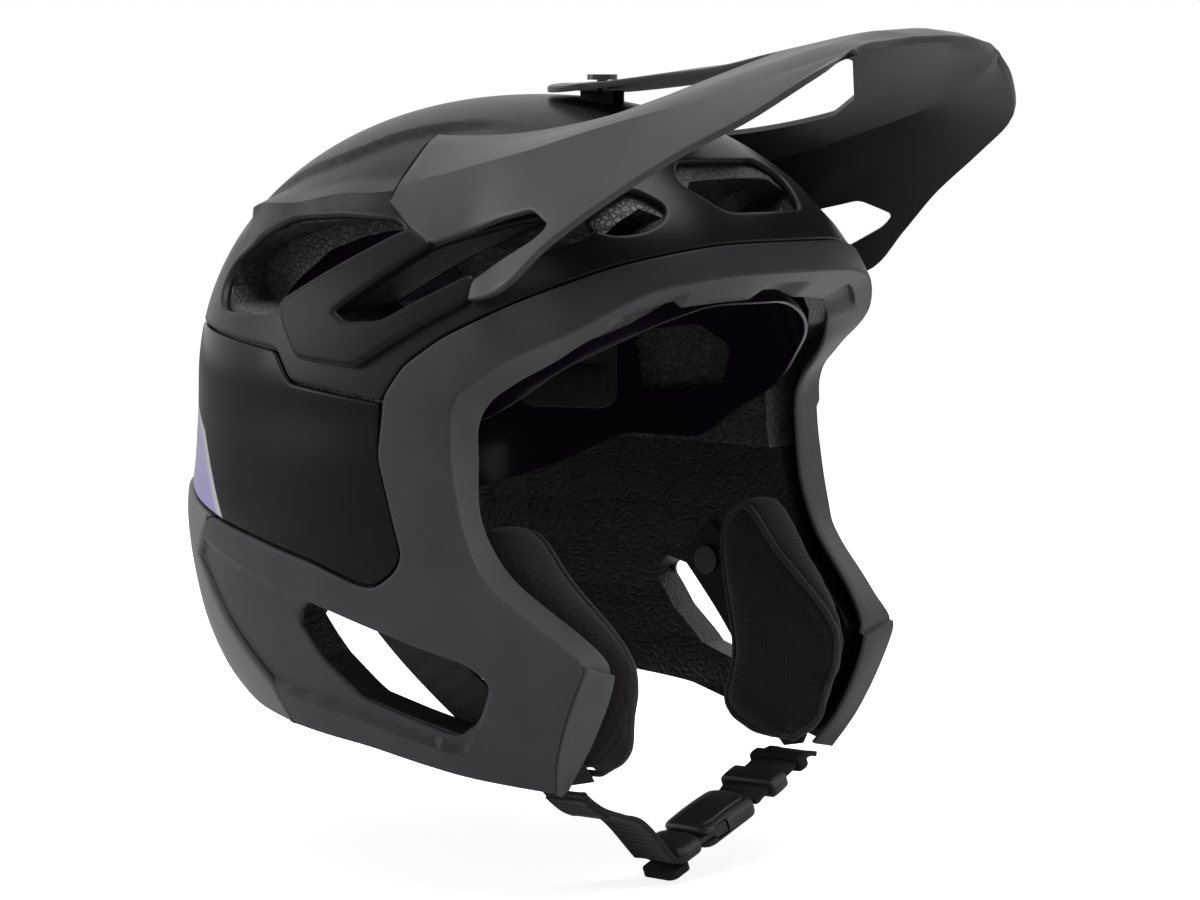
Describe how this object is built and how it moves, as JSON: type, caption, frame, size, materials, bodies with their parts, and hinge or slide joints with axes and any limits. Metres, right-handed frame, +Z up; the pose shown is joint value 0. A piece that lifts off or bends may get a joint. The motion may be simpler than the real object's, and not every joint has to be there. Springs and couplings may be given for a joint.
{
  "type": "mountain bike helmet",
  "caption": "Open-face mountain bike helmet with extended cheek guards, a wide break-away visor, sliding liner, fabric pads and a chin strap with a side-release magnetic buckle.",
  "frame": {"origin": "centre of the wearer's head, in the helmet's middle plane", "axes": "+Z up along the wearer's head, -Y ahead out of the face opening, +X to the wearer's left"},
  "size_m": [0.221, 0.3303, 0.3048],
  "materials": {
    "satin_black": "satin",
    "gloss_black": "satin",
    "matte_grey": "matte",
    "plate_black": "matte",
    "visor_black": "matte",
    "screw_black": "matte",
    "black_rubber": "matte",
    "black_foam": "beaded",
    "liner_plastic": "glossy",
    "anchor_rubber": "matte",
    "pad_fabric": "knitted",
    "cheek_fabric": "knitted",
    "snap_plastic": "matte",
    "webbing": "woven",
    "rivet_steel": "brushed",
    "buckle_plastic": "satin",
    "magnet_metal": "plated",
    "pull_webbing": "woven"
  },
  "bodies": {
    "shell": {"crown_shell": "satin_black", "side_shell": "gloss_black", "lower_frame": "matte_grey", "rear_bumper": "matte_grey", "side_plate_left": "plate_black", "side_plate_right": "plate_black", "visor_seat": "black_rubber", "visor_sockets": "black_rubber", "foam_upper_left": "black_foam", "foam_upper_right": "black_foam", "foam_lower": "black_foam", "liner_anchors": "anchor_rubber", "cheek_pad_left": "cheek_fabric", "cheek_pad_right": "cheek_fabric", "pad_snaps_left": "snap_plastic", "pad_snaps_right": "snap_plastic", "strap_root_left": "webbing", "strap_root_right": "webbing", "strap_rivets": "rivet_steel"},
    "visor_set": {"visor": "visor_black", "visor_screw": "screw_black"},
    "liner_set": {"slip_liner": "liner_plastic", "brow_pad": "pad_fabric", "crown_pad": "pad_fabric", "temple_pad_left": "pad_fabric", "temple_pad_right": "pad_fabric", "nape_pad": "pad_fabric"},
    "strap_set": {"chin_strap_left": "webbing", "buckle_housing": "buckle_plastic", "buckle_magnet": "magnet_metal", "strap_slider": "buckle_plastic"},
    "tongue_set": {"chin_strap_right": "webbing", "buckle_tongue": "buckle_plastic", "pull_tab": "pull_webbing"},
    "keeper": {"strap_keeper": "black_rubber"}
  },
  "joints": [
    {"name": "visor_release", "type": "slide", "parent": "shell", "child": "visor_set", "axis": [0, -0.8192, 0.5736], "range_m": [0, 0.04]},
    {"name": "liner_turn", "type": "hinge", "parent": "shell", "child": "liner_set", "pos_m": [0, 0, 0], "axis": [0, 0, 1], "range_deg": [-3, 3], "stiffness_Nm_per_rad": 4},
    {"name": "strap_swing", "type": "hinge", "parent": "shell", "child": "strap_set", "pos_m": [0, -0.069, -0.117], "axis": [1, 0, 0], "range_deg": [-15, 15]},
    {"name": "buckle_open", "type": "hinge", "parent": "strap_set", "child": "tongue_set", "pos_m": [-0.063, -0.067, -0.117], "axis": [0, 0, 1], "range_deg": [-45, 0]},
    {"name": "keeper_slide", "type": "slide", "parent": "strap_set", "child": "keeper", "axis": [-0.9203, -0.0188, -0.3907], "range_m": [0, 0.008]}
  ]
}
